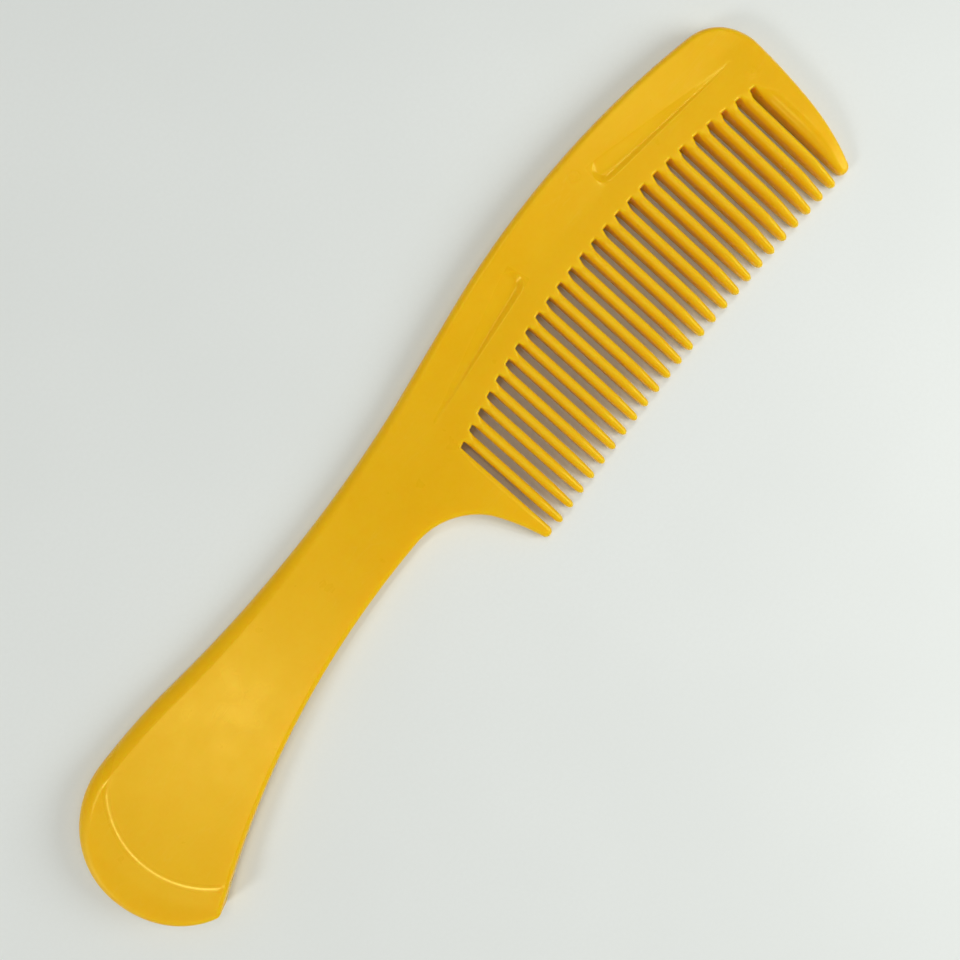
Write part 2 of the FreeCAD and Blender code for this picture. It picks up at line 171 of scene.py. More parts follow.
SCUFF_MARK = (-59.1, 0.65)

# Distances between the points that fill the two faces, and where they are closer
FACE_SPACING = 0.9
UNDERSIDE_SPACING = 2.5
DROP_SPACING = 0.24
DROP_ZONE_DEPTH = 0.004
CREASE_SPACING = 0.3
CREASE_ZONE = 0.9
CREASE_END_X = -86
CREASE_END_Y = 12
EJECTOR_SPACING = 0.16
EJECTOR_ZONE = 1.5
GATE_SPACING = 0.22
GATE_ZONE = 1.8
CLEAR_OF_EDGE = 0.4  # of the spacing
FINE_CLEAR_OF_EDGE = 0.5

SLOPE_STEP = 0.01
LEAST_LENGTH = 1e-9
MERGE_DISTANCE = 1e-5
INSIDE_ONLY = 1  # the output type of delaunay_2d_cdt that leaves out the outside
BATCH = 2000


def smoothstep(t):
    t = np.clip(t, 0.0, 1.0)
    return t * t * (3 - 2 * t)


def softplus(x, softness):
    """0 for low x, x for high x, with a bend about softness long."""
    return 0.5 * (x + np.sqrt(x * x + softness * softness))


def smooth_min(a, b, softness):
    return a - softplus(a - b, softness)


def distance(points, place):
    return np.hypot(points[:, 0] - place[0], points[:, 1] - place[1])


# ------------------------------------------------------------- heights


def drop_depth(points, head, tail):
    """Depth of a teardrop recess: a V between two sloped walls, with a flat floor
    where it is wide enough and a round head."""
    head, tail = np.array(head), np.array(tail)
    length = np.hypot(*(tail - head))
    along = (tail - head) / length
    side = np.array([-along[1], along[0]])
    side = side if side[1] > 0 else -side
    a = (points - head) @ along
    v = (points - head) @ side
    lean = (DROP_HEAD_RADIUS - DROP_TAIL_RADIUS) / length
    square = sqrt(1 - lean ** 2)
    inside_back = DROP_HEAD_RADIUS - square * v - lean * a
    inside_teeth = DROP_HEAD_RADIUS + square * v - lean * a
    inside_head = DROP_HEAD_RADIUS - np.hypot(np.minimum(a, 0), v)
    depth = smooth_min(inside_back * DROP_BACK_SLOPE, inside_teeth * DROP_TEETH_SLOPE, DROP_SOFTNESS)
    depth = smooth_min(depth, inside_head * DROP_HEAD_SLOPE, DROP_SOFTNESS)
    depth = smooth_min(depth, DROP_DEPTH, DROP_SOFTNESS)
    return softplus(depth, DROP_SOFTNESS) * smoothstep((length + DROP_TAIL_FADE - a) / DROP_TAIL_FADE)


def plate_top(points):
    """Height of the show face of the spine, neck and grip."""
    x, y = points[:, 0], points[:, 1]
    run = RISE_START_X - LIP_CENTRE[0]
    z = SPINE_THICKNESS + RISE_HEIGHT * softplus(RISE_START_X - x, RISE_SOFTNESS) / run
    beyond = np.hypot(np.minimum(x - LIP_CENTRE[0], 0), y - LIP_CENTRE[1]) - LIP_RADIUS
    low_end = LOW_END_SOFTNESS * smoothstep((LOW_END_Y - y) / LOW_END_RUN)
    high_end = HIGH_END_SOFTNESS * smoothstep((y - HIGH_END_Y) / HIGH_END_RUN)
    softness = CREASE_SOFTNESS + low_end + high_end
    slope = (LIP_TOP - SPINE_THICKNESS - RISE_HEIGHT) / LIP_RUN
    z += slope * (softplus(beyond, softness) - softplus(beyond - LIP_RUN, CREST_SOFTNESS))
    for head, tail in DROPS:
        z -= drop_depth(points, head, tail)
    from_line = distance(points, EJECTOR_MARK) - EJECTOR_RADIUS
    z -= EJECTOR_DEPTH * np.exp(-(from_line / EJECTOR_LINE) ** 2)
    bend = GATE_BEND * np.sin(GATE_BEND_WAVES * y)
    grain = 1 + GATE_GRAIN * np.sin(GATE_WAVES[0] * x + bend) * np.sin(GATE_WAVES[1] * y + x)
    z += GATE_HEIGHT * np.exp(-(distance(points, GATE_MARK) / GATE_RADIUS) ** 4) * grain
    return z


def root_line(x):
    return ROOT_CENTRE[1] + np.sqrt(ROOT_RADIUS ** 2 - (x - ROOT_CENTRE[0]) ** 2)


def tooth_shape(s):
    """Half width of a tooth and the heights of its underside and ridge, at a
    distance s from the tip."""
    nose = np.sqrt(1 - (1 - np.clip(s / NOSE_LENGTH, 0, 1)) ** 2)
    low, high = np.interp(s, TOOTH_S, TOOTH_LOW), np.interp(s, TOOTH_S, TOOTH_HIGH)
    middle, half_depth = (low + high) / 2, (high - low) / 2 * nose
    return np.interp(s, TOOTH_S, TOOTH_HALF_WIDTH) * nose, middle - half_depth, middle + half_depth


def tooth_weight(points):
    """0 on the plate, 1 where a tooth has its full section."""
    x, y = points[:, 0], points[:, 1]
    below_root = root_line(np.clip(x, HEEL_INNER_X, TOE_INNER_X)) - y
    weight = smoothstep((below_root - BLEND_START) / (FULL_SECTION - BLEND_START))
    between = (x > HEEL_INNER_X + GUARD_CLEARANCE) & (x < TOE_INNER_X - GUARD_CLEARANCE)
    return np.where(between, weight, 0.0)


def guard_drop(points):
    """How far the show face of a guard lies below the plate's."""
    x, y = points[:, 0], points[:, 1]
    from_tip = y - np.where(x < ROOT_CENTRE[0], *GUARD_TIP_Y)
    drop = GUARD_DROP * np.clip(1 - from_tip / GUARD_RUN, 0, 1) ** GUARD_DROP_POWER
    return np.where(x > GUARD_X, drop, 0.0)


def heights(points):
    """Heights of the show face and of the underside, stubs of the teeth included."""
    nearest = np.abs(points[:, 0][:, None] - TOOTH_X).argmin(1)
    weight = tooth_weight(points)
    _, low, high = tooth_shape(points[:, 1] - TIP_Y[nearest])
    top = (plate_top(points) - guard_drop(points)) * (1 - weight) + high * weight
    return top, low * weight


# ------------------------------------------------------------- plan outline


class Outline:
    """Closed plan of the comb, with each tooth cut off near its root."""

    def __init__(self):
        self.points = np.zeros((0, 2))
        self.top = np.zeros((0, 2))
        self.under = np.zeros((0, 2))
        self.facing = np.zeros((0, 2))
        self.cuts = []

    def add(self, points, top, under, facing=(0, 0)):
        """Points with the width and depth of the roll above and below, and the way
        the wall faces where that is known."""
        ones = np.ones((len(points), 1))
        self.points = np.vstack([self.points, points])
        self.top = np.vstack([self.top, np.array(top) * ones])
        self.under = np.vstack([self.under, np.array(under) * ones])
        self.facing = np.vstack([self.facing, np.array(facing) * ones])

    def outward(self):
        """Way that the wall faces at each point."""
        step = np.roll(self.points, -1, 0) - self.points
        step /= np.hypot(*step.T)[:, None]
        after = np.c_[step[:, 1], -step[:, 0]]
        normals = after + np.roll(after, 1, 0)
        normals /= np.hypot(*normals.T)[:, None]
        known = np.abs(self.facing).sum(1) > 0
        normals[known] = self.facing[known]
        return normals


def arc_between(start, end, radius, turn):
    """Points of a short arc, from start up to but without end."""
    chord = end - start
    length = np.hypot(*chord)
    across = np.array([-chord[1], chord[0]]) / length
    centre = (start + end) / 2 + across * sqrt(radius ** 2 - (length / 2) ** 2) * turn
    first = np.arctan2(start[1] - centre[1], start[0] - centre[0])
    sweep = 2 * np.arcsin(length / 2 / radius) * turn
    step = min(PLAN_STEP, radius * SMALL_ARC_STEP)
    count = max(2, int(np.ceil(abs(sweep) * radius / step)))
    angles = first + sweep * np.arange(count) / count
    return centre + radius * np.c_[np.cos(angles), np.sin(angles)]


def walk(outline, plan):
    """Add the stretches of a row of corners."""
    for here, there in zip(plan, plan[1:]):
        start, end = np.array(here[:2]), np.array(there[:2])
        if here[2] is None:
            count = max(1, int(np.ceil(np.hypot(*(end - start)) / PLAN_STEP)))
            stretch = start + (end - start) * (np.arange(count) / count)[:, None]
        else:
            stretch = arc_between(start, end, here[2], here[3])
        t = smoothstep(np.arange(len(stretch)) / len(stretch))[:, None]
        outline.add(stretch, np.array(here[4:]) * (1 - t) + np.array(there[4:]) * t, UNDER_ROLL)


def guard_side(outline, x, low, end_roll, body_roll, going_up):
    """Inner wall of a guard. Its roll changes from the tip's to its own and then to
    the small one at the root."""
    high = root_line(x) - GAP_CORNER
    ys = np.linspace(low, high, int((high - low) / STUB_STEP))
    near_root = smoothstep((high - ys) / GUARD_ROOT_BLEND)[:, None]
    near_tip = smoothstep((ys - low) / GUARD_TIP_BLEND)[:, None]
    roll = np.array(end_roll) * (1 - near_tip) + np.array(body_roll) * near_tip
    roll = np.array(ROOT_ROLL) * (1 - near_root) + roll * near_root
    line = np.c_[np.full(len(ys), x), ys]
    if going_up:
        outline.add(line, roll, GAP_ROLL)
    else:
        outline.add(line[::-1][:-1], roll[::-1][:-1], GAP_ROLL)


def side_places(number, side):
    """Y of the points on one side of a tooth's stub, from the cut up to the corner."""
    x = TOOTH_X[number]
    foot = root_line(x) - STUB
    top_of_side = root_line(x + side * TOOTH_HALF_WIDTH[-1]) - GAP_CORNER
    return foot + STUB_STEP * np.arange(int((top_of_side - foot) / STUB_STEP))


def side_top(number, side):
    """Top end of the straight part of one side of a tooth."""
    y = side_places(number, side)[-1]
    return np.array([TOOTH_X[number] + side * tooth_shape(y - TIP_Y[number])[0], y])


def tooth_side(outline, number, side, going_up):
    """One side of a tooth's stub, from the cut up to the root corner or back."""
    x = TOOTH_X[number]
    ys = side_places(number, side)
    half_width, low, high = tooth_shape(ys - TIP_Y[number])
    line = np.c_[x + side * half_width, ys]
    weight = tooth_weight(line)[:, None]
    depth = high - low
    top = np.array(ROOT_ROLL) * (1 - weight) + np.c_[half_width, depth * RIDGE_SHARE] * weight
    under = np.array(GAP_ROLL) * (1 - weight) + np.c_[half_width, depth * SOLE_SHARE] * weight
    order = 1 if going_up else -1
    if going_up:
        outline.cuts.append(len(outline.points) - 1)
    outline.add(line[::order], top[::order], under[::order], (side, 0))
    return line[-1]


def gap_root(outline, left, right):
    """Rounded corners and root wall of one gap, between the tops of its sides."""
    def corner(before, middle, after):
        t = np.linspace(0, 1, CORNER_POINTS)[1:-1, None]
        return (1 - t) ** 2 * before + 2 * t * (1 - t) * middle + t ** 2 * after

    left_corner = np.array([left[0], root_line(left[0])])
    right_corner = np.array([right[0], root_line(right[0])])
    left_wall = np.array([left[0] + GAP_CORNER, root_line(left[0] + GAP_CORNER)])
    right_wall = np.array([right[0] - GAP_CORNER, root_line(right[0] - GAP_CORNER)])
    xs = np.linspace(left_wall[0], right_wall[0], ROOT_POINTS)
    outline.add(corner(left, left_corner, left_wall), ROOT_ROLL, GAP_ROLL)
    outline.add(np.c_[xs, root_line(xs)], ROOT_ROLL, GAP_ROLL)
    outline.add(corner(right_wall, right_corner, right), ROOT_ROLL, GAP_ROLL)


def make_outline():
    outline = Outline()
    walk(outline, LOWER_PLAN)
    heel_top = np.array([HEEL_INNER_X, root_line(HEEL_INNER_X) - GAP_CORNER])
    toe_top = np.array([TOE_INNER_X, root_line(TOE_INNER_X) - GAP_CORNER])
    guard_side(outline, HEEL_INNER_X, LOWER_PLAN[-1][1], LOWER_PLAN[-1][4:], HEEL_ROLL, True)
    left = heel_top
    for number in range(len(TEETH)):
        gap_root(outline, left, side_top(number, -1))
        tooth_side(outline, number, -1, False)
        left = tooth_side(outline, number, 1, True)
    gap_root(outline, left, toe_top)
    guard_side(outline, TOE_INNER_X, UPPER_PLAN[0][1], UPPER_PLAN[0][4:], TOE_ROLL, False)
    walk(outline, UPPER_PLAN)
    return outline


# ------------------------------------------------------------- skin


ROLL_ANGLES = np.linspace(pi / 2, 0, ROLL_STEPS + 1)
UNDER_ANGLES = np.linspace(0, pi / 2, UNDER_STEPS + 1)
SEAM_ROWS = ((1, 0), (0, 1), (-1, 0))  # place across the parting line, share of its height
ROWS = len(ROLL_ANGLES) + len(SEAM_ROWS) + len(UNDER_ANGLES)


def edge_rows(points, outward, top, under):
    """Skin over the edge, row by row from the show face to the underside.

    Returns an array of one row of ROWS points for each point of the outline."""
    rows = []

    def place(inset):
        return points - outward * inset[:, None]

    for angle in ROLL_ANGLES:
        plan = place(top[:, 0] * (1 - cos(angle)))
        rows.append(np.c_[plan, heights(plan)[0] - top[:, 1] * (1 - sin(angle))])
    plan = place(under[:, 0] * 0)
    low = heights(plan)[1] + under[:, 1]
    high = rows[-1][:, 2]
    wall = high - low
    half = np.minimum(SEAM_SHARE * wall, SEAM_HALF_WIDTH)
    for shift, height in SEAM_ROWS:
        seam = place(-height * SEAM_HEIGHT * np.minimum(1, wall))
        rows.append(np.c_[seam, (high + low) / 2 + shift * half])
    for angle in UNDER_ANGLES:
        plan = place(under[:, 0] * (1 - cos(angle)))
        rows.append(np.c_[plan, heights(plan)[1] + under[:, 1] * (1 - sin(angle))])
    return np.stack(rows, 1)


def surface_normals(grid, closed):
    """Normals of a grid of points from its neighbours. closed: the first axis runs
    round."""
    if closed:
        along = np.roll(grid, -1, 0) - np.roll(grid, 1, 0)
    else:
        along = np.gradient(grid, axis=0)
    down = np.gradient(grid, axis=1)
    normals = np.cross(down, along)
    return normals / np.maximum(np.linalg.norm(normals, axis=2), LEAST_LENGTH)[..., None]


def face_normals(points):
    """Normals of the show face from the slope of its height."""
    step = SLOPE_STEP
    across = heights(points + (step, 0))[0] - heights(points - (step, 0))[0]
    along = heights(points + (0, step))[0] - heights(points - (0, step))[0]
    normals = np.c_[-across / (2 * step), -along / (2 * step), np.ones(len(points))]
    return normals / np.linalg.norm(normals, axis=1)[:, None]


def hex_grid(low, high, spacing):
    """Points in a triangular pattern that fills a box."""
    rise = spacing * sqrt(3) / 2
    columns = np.arange(low[0], high[0], spacing)
    lines = np.arange(low[1], high[1], rise)
    x, y = np.meshgrid(columns, lines)
    x[1::2] += spacing / 2
    return np.c_[x.ravel(), y.ravel()]


def clear_of(points, ring, gap):
    """Mask of the points that stand at least a gap from every point of the ring."""
    keep = np.ones(len(points), bool)
    for first in range(0, len(points), BATCH):
        part = points[first:first + BATCH]
        away = np.hypot(part[:, None, 0] - ring[:, 0], part[:, None, 1] - ring[:, 1]).min(1)
        keep[first:first + BATCH] = away > gap
    return keep


def drop_zone(points, head, tail):
    return drop_depth(points, head, tail) > DROP_ZONE_DEPTH


def crease_zone(points):
    beyond = np.abs(distance(points, LIP_CENTRE) - LIP_RADIUS)
    return (beyond < CREASE_ZONE) & (points[:, 0] < CREASE_END_X) & (points[:, 1] < CREASE_END_Y)


def face_points(ring):
    """Points inside the show face, closer together on its details."""
    zones = [(lambda p, d=d: drop_zone(p, *d), DROP_SPACING) for d in DROPS]
    zones.append((crease_zone, CREASE_SPACING))
    zones.append((lambda p: distance(p, EJECTOR_MARK) < EJECTOR_ZONE, EJECTOR_SPACING))
    zones.append((lambda p: distance(p, GATE_MARK) < GATE_ZONE, GATE_SPACING))
    low, high = ring.min(0), ring.max(0)
    base = hex_grid(low, high, FACE_SPACING)
    coarse = np.ones(len(base), bool)
    for zone, _ in zones:
        coarse &= ~zone(base)
    base = base[coarse]
    found = [base[clear_of(base, ring, FACE_SPACING * CLEAR_OF_EDGE)]]
    for zone, spacing in zones:
        fine = hex_grid(low, high, spacing)
        fine = fine[zone(fine)]
        found.append(fine[clear_of(fine, ring, spacing * FINE_CLEAR_OF_EDGE)])
    return np.vstack(found)


class Skin:
    """Vertices, normals and faces of the mesh as they are collected."""

    def __init__(self):
        self.vertices = []
        self.normals = []
        self.faces = []
        self.count = 0

    def add(self, vertices, normals):
        first = self.count
        self.vertices.append(vertices)
        self.normals.append(normals)
        self.count += len(vertices)
        return first

    def fill(self, ring, ring_indices, inner, heights_of, normals_of):
        """Fill a ring with triangles through inner points. Where the ring touches
        itself, its points are joined, and the joined pairs are returned."""
        first = self.add(np.c_[inner, heights_of(inner)], normals_of(inner))
        indices = list(ring_indices) + list(range(first, first + len(inner)))
        plan = [Vector(p) for p in np.vstack([ring, inner])]
        border = list(range(len(ring)))
        filled = delaunay_2d_cdt(plan, [], [border], INSIDE_ONLY, MERGE_DISTANCE)
        points, _, faces, origins, _, _ = filled
        joined = {}
        names = []
        for point, origin in zip(points, origins):
            if not origin:
                place = np.array([point])
                names.append(self.add(np.c_[place, heights_of(place)], normals_of(place)))
                continue
            names.append(indices[min(origin)])
            for other in origin:
                joined[indices[other]] = names[-1]
        self.faces += [[names[i] for i in face] for face in faces]
        return joined


def strip_faces(grid, skip, closed):
    """Quads of a grid of indices, without the columns in skip."""
    faces = []
    for i in range(len(grid) if closed else len(grid) - 1):
        if i in skip:
            continue
        here, after = grid[i], grid[(i + 1) % len(grid)]
        faces += [[here[j], after[j], after[j + 1], here[j + 1]] for j in range(len(here) - 1)]
    return faces


def tooth_stations(number):
    start = root_line(TOOTH_X[number]) - STUB - TIP_Y[number]
    count = int(np.ceil((start - NOSE_LENGTH) / TOOTH_STATION))
    straight = np.linspace(start, NOSE_LENGTH, count + 1)[1:]
    nose = NOSE_LENGTH * (1 - np.cos(np.linspace(pi / 2, 0, NOSE_STEPS + 1)[1:-1]))
    return np.concatenate([[start], straight, nose])


def tooth_grid(number):
    """Points of a tooth from its cut to its nose: stations by places round the
    section. The section starts on the ridge and goes down the -X side."""
    stations = tooth_stations(number)
    half_width, low, high = tooth_shape(stations)
    y = TIP_Y[number] + stations
    x = TOOTH_X[number]
    ridge, sole = (high - low) * RIDGE_SHARE, (high - low) * SOLE_SHARE
    wall = high - low - ridge - sole
    half = np.minimum(SEAM_SHARE * wall, SEAM_HALF_WIDTH)
    column = []
    for angle in ROLL_ANGLES:
        column.append((half_width * cos(angle), high - ridge * (1 - sin(angle))))
    for shift, height in SEAM_ROWS:
        across = half_width + height * SEAM_HEIGHT * np.minimum(1, wall)
        column.append((across, low + sole + wall / 2 + shift * half))
    for angle in UNDER_ANGLES:
        column.append((half_width * cos(angle), low + sole * (1 - sin(angle))))
    minus = [np.c_[x - across, y, z] for across, z in column]
    plus = [np.c_[x + across, y, z] for across, z in column[-2:0:-1]]
    return np.stack(minus + plus, 1)


def add_tooth(skin, number, minus, plus):
    """Add a tooth, sewn to the rows of indices on the two sides of its cut."""
    grid = tooth_grid(number)
    wrapped = np.concatenate([grid[:, -1:], grid, grid[:, :1]], 1)
    normals = surface_normals(wrapped, False)[:, 1:-1]
    around = grid.shape[1]
    tip = np.array([[TOOTH_X[number], TIP_Y[number], (TOOTH_LOW[0] + TOOTH_HIGH[0]) / 2]])
    first = skin.add(grid[1:].reshape(-1, 3), normals[1:].reshape(-1, 3))
    pole = skin.add(tip, np.array([[0.0, -1.0, 0.0]]))
    seam = list(minus) + list(plus[-2:0:-1])
    starts = range(first, pole, around)
    loops = [seam] + [list(range(start, start + around)) for start in starts]
    for near, far in zip(loops, loops[1:]):
        for i in range(around):
            j = (i + 1) % around
            skin.faces.append([near[i], near[j], far[j], far[i]])
    for i in range(around):
        skin.faces.append([loops[-1][i], loops[-1][(i + 1) % around], pole])


def make_skin():
    outline = make_outline()
    grid = edge_rows(outline.points, outline.outward(), outline.top, outline.under)
    normals = surface_normals(grid, True)
    for cut in outline.cuts:
        normals[cut] = surface_normals(grid[cut - 1:cut + 1], False)[1]
        normals[cut + 1] = surface_normals(grid[cut + 1:cut + 3], False)[0]
    count = len(grid)
    normals[:, 0] = face_normals(grid[:, 0, :2])
    normals[:, -1] = (0, 0, -1)
    skin = Skin()
    skin.add(grid.reshape(-1, 3), normals.reshape(-1, 3))
    rows = np.arange(count * ROWS).reshape(count, ROWS)
    skin.faces += strip_faces(rows.tolist(), set(outline.cuts), True)
    for number, cut in enumerate(outline.cuts):
        add_tooth(skin, number, rows[cut], rows[cut + 1])
    top_ring, under_ring = grid[:, 0, :2], grid[:, -1, :2]
    inner = face_points(top_ring)
    joined = skin.fill(top_ring, rows[:, 0], inner, lambda p: heights(p)[0], face_normals)
    inner = hex_grid(under_ring.min(0), under_ring.max(0), UNDERSIDE_SPACING)
    inner = inner[clear_of(inner, under_ring, UNDERSIDE_SPACING * CLEAR_OF_EDGE)]

    def downward(points):
        return np.tile((0.0, 0.0, -1.0), (len(points), 1))

    joined.update(skin.fill(under_ring, rows[:, -1], inner, lambda p: heights(p)[1], downward))
    return skin, joined


def build_mesh(name):
    """Mesh of the skin with its own normals. Vertices that no face uses are left
    out, and so are faces that the joining closed up."""
    skin, joined = make_skin()
    vertices, normals = np.vstack(skin.vertices), np.vstack(skin.normals)
    faces = []
    for face in skin.faces:
        corners = []
        for index in face:
            index = int(joined.get(index, index))
            if index not in corners:
                corners.append(index)
        if len(corners) > 2:
            faces.append(corners)
    used = np.unique(np.concatenate([np.array(face) for face in faces]))
    renumber = np.full(len(vertices), -1)
    renumber[used] = np.arange(len(used))
    mesh = bpy.data.meshes.new(name)
    faces = [[int(renumber[i]) for i in face] for face in faces]
    mesh.from_pydata((vertices[used] * MM).tolist(), [], faces)
    shape = bmesh.new()
    shape.from_mesh(mesh)
    bmesh.ops.recalc_face_normals(shape, faces=shape.faces)
    open_edges = sum(1 for edge in shape.edges if not edge.is_manifold)
    print("skin: %d vertices, %d faces, %d open edges" % (len(shape.verts), len(shape.faces), open_edges))
    shape.to_mesh(mesh)
    shape.free()
    mesh.shade_smooth()
    mesh.normals_split_custom_set_from_vertices(normals[used].tolist())
    return mesh


def make_comb():
    comb = bpy.data.objects.new("comb_moulding", build_mesh("comb_moulding"))
    bpy.context.scene.collection.objects.link(comb)
    comb.data.materials.append(plastic())
    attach(comb, "root")
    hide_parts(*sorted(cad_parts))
    return comb


# ------------------------------------------------------------- materials

# Colours are linear. A noise is the size of its spots in millimetres and its detail.
# A pair of values is where a smooth step starts and where it is complete.
DEEP_YELLOW = (0.83, 0.475, 0.003, 1)
PALE_YELLOW = (0.85, 0.50, 0.006, 1)
SPECKLE_YELLOW = (0.9, 0.56, 0.03, 1)
SCRATCH_YELLOW = (0.93, 0.66, 0.12, 1)
CLOUD, CLOUD_STEP = (14, 3.0), (0.25, 0.75)
GRAIN, SPECKLE_STEP = (0.9, 2.0), (0.3, 0.7)
SPECKLE_SHARE = 0.12
WORN_STEP = (8.5, 2.5)  # from the middle of the worn patch

# Scratches: angle, spacing, width as a share of the noise, length
SCRATCHES = [(0.5, 1.6, 0.012, 30), (-0.9, 2.3, 0.01, 24), (1.9, 1.1, 0.012, 14)]
NOISE_MIDDLE = 0.5
PATCHES, PATCH_STEP = (9, 1.0), (0.5, 0.62)
SCRATCHES_ON_WORN, SCRATCHES_EVERYWHERE = 0.8, 0.2
SCRATCH_SHARE = 0.35

# Roughness, and what is added to it or taken off it
SMUDGES, SMUDGE_STEP = (5, 3.0), (0.2, 0.8)
ROUGHNESS = (0.27, 0.31)
WORN_SHINE = 0.02
SCRATCH_ROUGHNESS = 0.12
RIM_ROUGHNESS = 0.16
CREASE_SHINE = 0.10
CREASE_STEP = (0.9, 0.4)  # from the crease at the handle end
RIM_STEP = (LIP_RADIUS + 2.5, LIP_RADIUS + 5)
HANDLE_END_STEP = (-82.0, -85.0)
DROP_SIDE_STEP = (0.1, -0.2)  # outside the side of a teardrop
DROP_HEAD_STEP = 0.4

# Light in the plastic, and the fine unevenness of its surface
SPECULAR_TINT = (1.0, 0.86, 0.22, 1)
SUBSURFACE_SHARE = 0.8
SUBSURFACE_COLOUR = (1.0, 0.6, 0.08)
SUBSURFACE_DEPTH = 4.0
WAVES = (1.4, 2.0)
WAVE_SHARE, GRAIN_SHARE, SCRATCH_DEPTH = 0.7, 0.3, 0.5
BUMP_STRENGTH = 0.25
BUMP_HEIGHT = 0.03

TABLE_COLOURS = ((0.79, 0.825, 0.80, 1), (0.81, 0.845, 0.82, 1))
TABLE_CLOUD, TABLE_CLOUD_STEP = (60, 2.0), (0.3, 0.7)
FIBRE_COLOUR = (0.77, 0.80, 0.77, 1)
FIBRE, FIBRE_STEP = (0.8, 3.0), (0.3, 0.7)
FIBRE_SHARE = 0.25
TABLE_ROUGHNESS = 0.75
TABLE_SPECULAR = 0.25


class Shader:
    """Short calls for the nodes of one material, in object coordinates."""

    def __init__(self, name):
        self.material = bpy.data.materials.new(name)
        self.material.use_nodes = True
        self.nodes = self.material.node_tree.nodes
        self.links = self.material.node_tree.links
        self.surface = self.nodes["Principled BSDF"]
        self.place = self.nodes.new("ShaderNodeTexCoord").outputs["Object"]

    def put(self, socket, value):
        """Link a socket to another one, or give it a constant."""
        if isinstance(value, bpy.types.NodeSocket):
            self.links.new(value, socket)
        else:
            socket.default_value = value

    def math(self, operation, first, second=0.0):
        node = self.nodes.new("ShaderNodeMath")
        node.operation = operation
        self.put(node.inputs[0], first)
        self.put(node.inputs[1], second)
        return node.outputs[0]

    def moved(self, shift=(0, 0, 0), turn=0.0, stretch=(1, 1, 1)):
        node = self.nodes.new("ShaderNodeMapping")
        self.links.new(self.place, node.inputs["Vector"])
        node.inputs["Location"].default_value = shift
        node.inputs["Rotation"].default_value = (0, 0, turn)
        node.inputs["Scale"].default_value = stretch
        return node.outputs[0]

    def axis(self, number):
        """One coordinate, in millimetres."""
        node = self.nodes.new("ShaderNodeSeparateXYZ")
        self.links.new(self.place, node.inputs[0])
        return self.math("DIVIDE", node.outputs[number], MM)

    def noise(self, size, detail, place=None):
        """Noise from 0 to 1 whose spots are about size across, in millimetres."""
        node = self.nodes.new("ShaderNodeTexNoise")
        self.links.new(place or self.place, node.inputs["Vector"])
        node.inputs["Scale"].default_value = 1 / (size * MM)
        node.inputs["Detail"].default_value = detail
        return node.outputs["Fac"]

    def span(self, value, low, high, to_low=0.0, to_high=1.0):
        """Smooth step from one value to another."""
        node = self.nodes.new("ShaderNodeMapRange")
        node.interpolation_type = "SMOOTHSTEP"
        self.put(node.inputs[0], value)
        for number, limit in enumerate((low, high, to_low, to_high), start=1):
            node.inputs[number].default_value = limit
        return node.outputs[0]

    def mix(self, share, first, second):
        """Colour between two, at a share of the second."""
        node = self.nodes.new("ShaderNodeMix")
        node.data_type = "RGBA"
        self.put(node.inputs[0], share)
        self.put(node.inputs[6], first)
        self.put(node.inputs[7], second)
        return node.outputs[2]

    def away(self, centre):
        """Distance from an upright line through a point, in millimetres."""
        node = self.nodes.new("ShaderNodeVectorMath")
        node.operation = "LENGTH"
        shift = (-centre[0] * MM, -centre[1] * MM, 0)
        self.links.new(self.moved(shift, 0.0, (1, 1, 0)), node.inputs[0])
        return self.math("DIVIDE", node.outputs["Value"], MM)

    def drop_mask(self, head, tail):
        """1 over a teardrop recess, 0 a little way outside."""
        length = hypot(tail[0] - head[0], tail[1] - head[1])
        turn = atan2(tail[1] - head[1], tail[0] - head[0])
        back = -(head[0] * cos(turn) + head[1] * sin(turn))
        aside = head[0] * sin(turn) - head[1] * cos(turn)
        node = self.nodes.new("ShaderNodeSeparateXYZ")
        self.links.new(self.moved((back * MM, aside * MM, 0), -turn), node.inputs[0])
        across = self.math("DIVIDE", self.math("ABSOLUTE", node.outputs[1]), MM)
        along = self.math("DIVIDE", node.outputs[0], MM)
        lean = (DROP_HEAD_RADIUS - DROP_TAIL_RADIUS) / length
        taper = self.math("MULTIPLY", self.math("MAXIMUM", along, 0.0), lean)
        outside, inside = DROP_SIDE_STEP
        side = self.math("ADD", across, taper)
        mask = self.span(side, DROP_HEAD_RADIUS + outside, DROP_HEAD_RADIUS + inside)
        before = self.span(along, -DROP_HEAD_RADIUS - DROP_HEAD_STEP, -DROP_HEAD_RADIUS)
        mask = self.math("MULTIPLY", mask, before)
        return self.math("MULTIPLY", mask, self.span(along, length + DROP_TAIL_FADE, length))

    def scratches(self, turn, spacing, width, length):
        """Thin straight marks at an angle, 1 on a mark."""
        lines = self.moved(turn=turn, stretch=(spacing / length, 1, 1))
        line = self.noise(spacing, 0.0, lines)
        off_line = self.math("ABSOLUTE", self.math("SUBTRACT", line, NOISE_MIDDLE))
        return self.span(off_line, width, 0.0)


def scratch_marks(shader, worn):
    """Scratches in patches, most of them where the grip is worn."""
    marks = 0.0
    for scratches in SCRATCHES:
        marks = shader.math("MAXIMUM", marks, shader.scratches(*scratches))
    marks = shader.math("MULTIPLY", marks, shader.span(shader.noise(*PATCHES), *PATCH_STEP))
    share = shader.math("MULTIPLY", worn, SCRATCHES_ON_WORN)
    return shader.math("MULTIPLY", marks, shader.math("ADD", share, SCRATCHES_EVERYWHERE))


